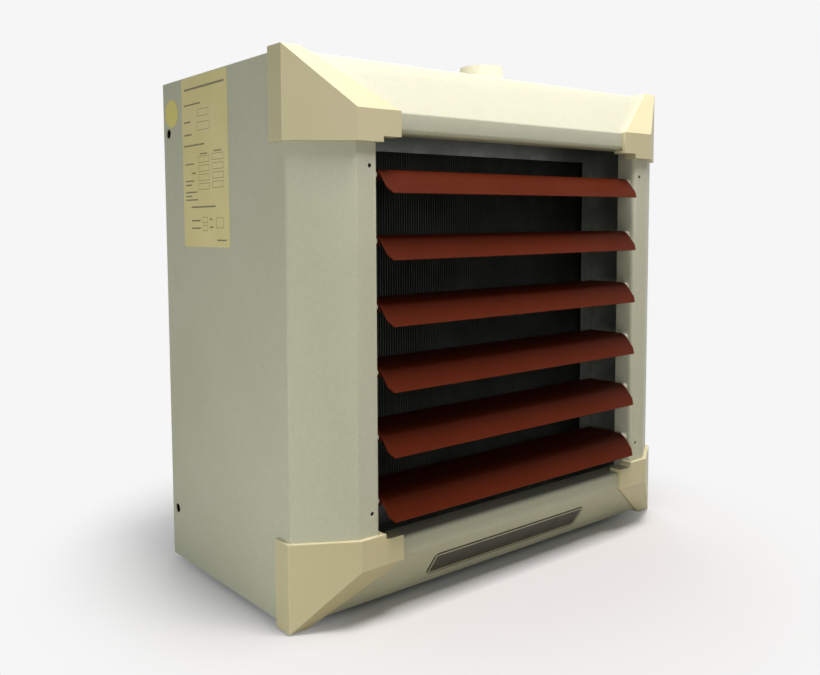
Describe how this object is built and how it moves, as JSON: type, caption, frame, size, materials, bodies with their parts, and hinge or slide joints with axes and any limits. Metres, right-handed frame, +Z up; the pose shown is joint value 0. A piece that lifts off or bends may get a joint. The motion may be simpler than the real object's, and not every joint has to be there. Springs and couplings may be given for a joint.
{
  "type": "hydronic unit heater",
  "caption": "Suspended hot-water unit heater: sheet cabinet with slanted front edges, corner caps, tilting louvers, finned coil, guarded rear fan and motor, pipe connections.",
  "frame": {"origin": "centre of the four hanger holes, on the top panel's outer face", "axes": "+Z up, -Y out of the front through the louvers, +X to the right seen from the front"},
  "size_m": [0.54, 0.4145, 0.532],
  "materials": {
    "painted_sheet": "satin baked enamel",
    "moulded_caps": "satin moulded",
    "painted_louvers": "satin baked enamel",
    "plated_steel": "zinc plated",
    "dark_steel": "black oxide",
    "nylon": "moulded",
    "galvanised_sheet": "galvanised",
    "aluminium": "mill finish",
    "copper": null,
    "motor_paint": "satin painted",
    "black_wire": "powder coated",
    "pale_label": "paper film",
    "yellow_sticker": "film",
    "dark_plate": "satin film"
  },
  "bodies": {
    "root": {"left_side_panel": "painted_sheet", "right_side_panel": "painted_sheet", "top_panel": "painted_sheet", "bottom_panel": "painted_sheet", "rear_panel": "painted_sheet", "corner_cap_top_left": "moulded_caps", "corner_cap_top_right": "moulded_caps", "corner_cap_bottom_left": "moulded_caps", "corner_cap_bottom_right": "moulded_caps", "louver_bushes": "nylon", "discharge_collar": "galvanised_sheet", "coil_casing": "galvanised_sheet", "fin_pack": "aluminium", "coil_tubes": "copper", "supply_header": "copper", "return_header": "copper", "coil_supports": "galvanised_sheet", "motor_shell": "motor_paint", "motor_stator": "plated_steel", "motor_windings": "copper", "motor_front_bell": "motor_paint", "motor_rear_bell": "motor_paint", "motor_bearings": "plated_steel", "motor_bolts": "plated_steel", "motor_mount_plate": "black_wire", "guard_spokes": "black_wire", "guard_rings": "black_wire", "guard_screws": "plated_steel", "junction_box": "galvanised_sheet", "junction_cover": "galvanised_sheet", "junction_screws": "plated_steel", "knockout_plugs": "dark_steel", "motor_lead": "plated_steel", "lead_fittings": "plated_steel", "hanger_nuts": "dark_steel", "bracket_nuts": "dark_steel", "top_screws": "dark_steel", "bottom_screws": "dark_steel", "rear_screws": "dark_steel", "rating_plate": "pale_label", "round_sticker": "yellow_sticker", "name_plate": "dark_plate"},
    "louver_1_body": {"louver_1": "painted_louvers", "louver_pins_1": "plated_steel"},
    "louver_2_body": {"louver_2": "painted_louvers", "louver_pins_2": "plated_steel"},
    "louver_3_body": {"louver_3": "painted_louvers", "louver_pins_3": "plated_steel"},
    "louver_4_body": {"louver_4": "painted_louvers", "louver_pins_4": "plated_steel"},
    "louver_5_body": {"louver_5": "painted_louvers", "louver_pins_5": "plated_steel"},
    "louver_6_body": {"louver_6": "painted_louvers", "louver_pins_6": "plated_steel"},
    "fan": {"fan_blades": "aluminium", "fan_hub": "plated_steel", "fan_rivets": "plated_steel", "hub_set_screw": "dark_steel", "motor_shaft": "plated_steel", "motor_rotor": "plated_steel"}
  },
  "joints": [
    {"name": "louver_1_tilt", "type": "hinge", "parent": "root", "child": "louver_1_body", "pos_m": [0, -0.123, -0.1045], "axis": [1, 0, 0], "range_deg": [-60, 30]},
    {"name": "louver_2_tilt", "type": "hinge", "parent": "root", "child": "louver_2_body", "pos_m": [0, -0.123, -0.1635], "axis": [1, 0, 0], "range_deg": [-60, 30]},
    {"name": "louver_3_tilt", "type": "hinge", "parent": "root", "child": "louver_3_body", "pos_m": [0, -0.123, -0.2225], "axis": [1, 0, 0], "range_deg": [-60, 30]},
    {"name": "louver_4_tilt", "type": "hinge", "parent": "root", "child": "louver_4_body", "pos_m": [0, -0.123, -0.2815], "axis": [1, 0, 0], "range_deg": [-60, 30]},
    {"name": "louver_5_tilt", "type": "hinge", "parent": "root", "child": "louver_5_body", "pos_m": [0, -0.123, -0.3405], "axis": [1, 0, 0], "range_deg": [-60, 30]},
    {"name": "louver_6_tilt", "type": "hinge", "parent": "root", "child": "louver_6_body", "pos_m": [0, -0.123, -0.3995], "axis": [1, 0, 0], "range_deg": [-60, 30]},
    {"name": "fan_spin", "type": "hinge", "parent": "root", "child": "fan", "pos_m": [0, 0.111, -0.252], "axis": [0, 1, 0], "continuous": true}
  ]
}
